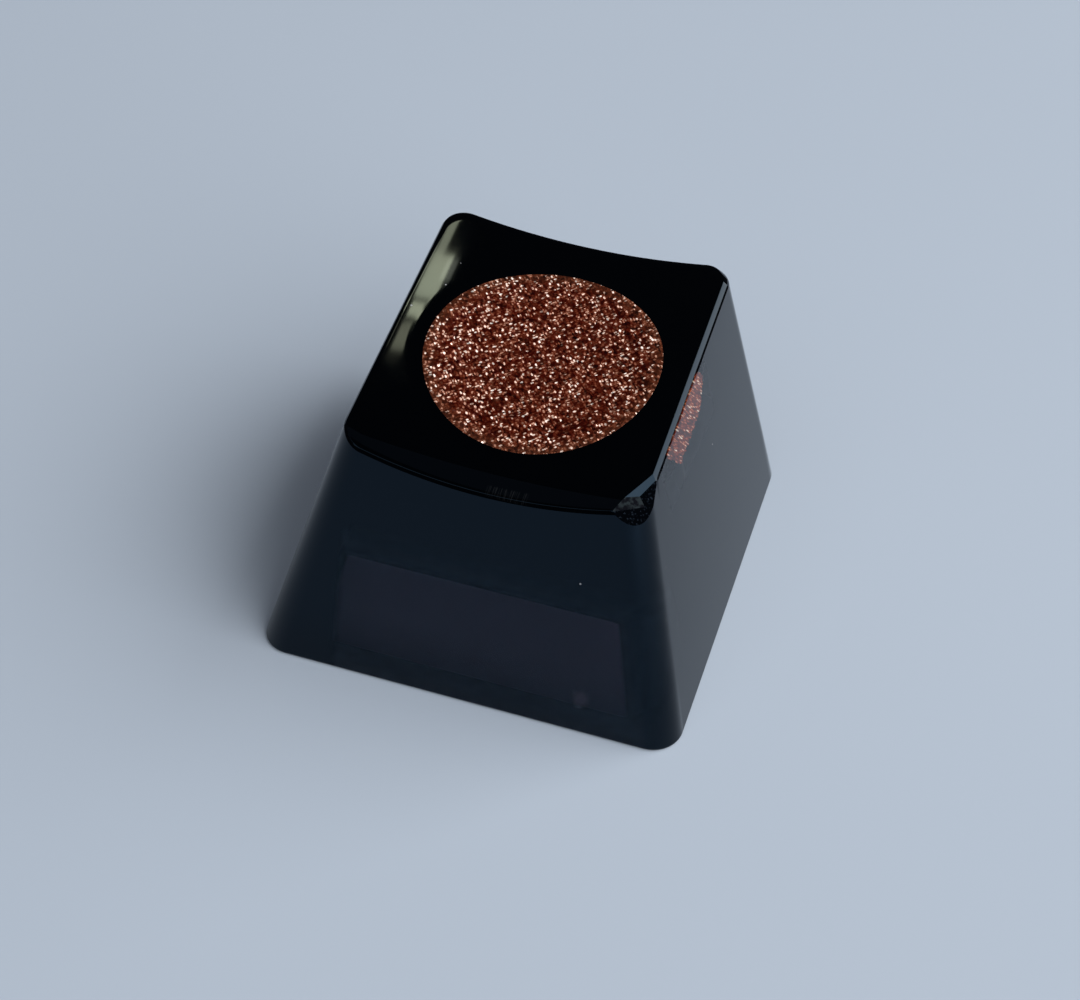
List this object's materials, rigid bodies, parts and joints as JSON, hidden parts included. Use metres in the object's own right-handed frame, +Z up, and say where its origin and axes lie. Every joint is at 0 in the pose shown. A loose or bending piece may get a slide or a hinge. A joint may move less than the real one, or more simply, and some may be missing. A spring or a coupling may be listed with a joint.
{
  "type": "artisan keycap",
  "caption": "Tapered dark translucent keycap with a dished top, a round copper-glitter inlay flush with it, and a hollow underside with a cross-shaped stem socket.",
  "frame": {"origin": "middle of the rim's underside", "axes": "+Z up, -Y towards the typist (the low edge of the top), +X to the typist's right"},
  "size_m": [0.018, 0.018, 0.0116],
  "materials": {
    "dark_resin": "polished",
    "copper_glitter": "polished, with fine copper flecks inside"
  },
  "bodies": {
    "root": {"cap_body": "dark_resin", "glitter_inlay": "copper_glitter"}
  },
  "joints": []
}
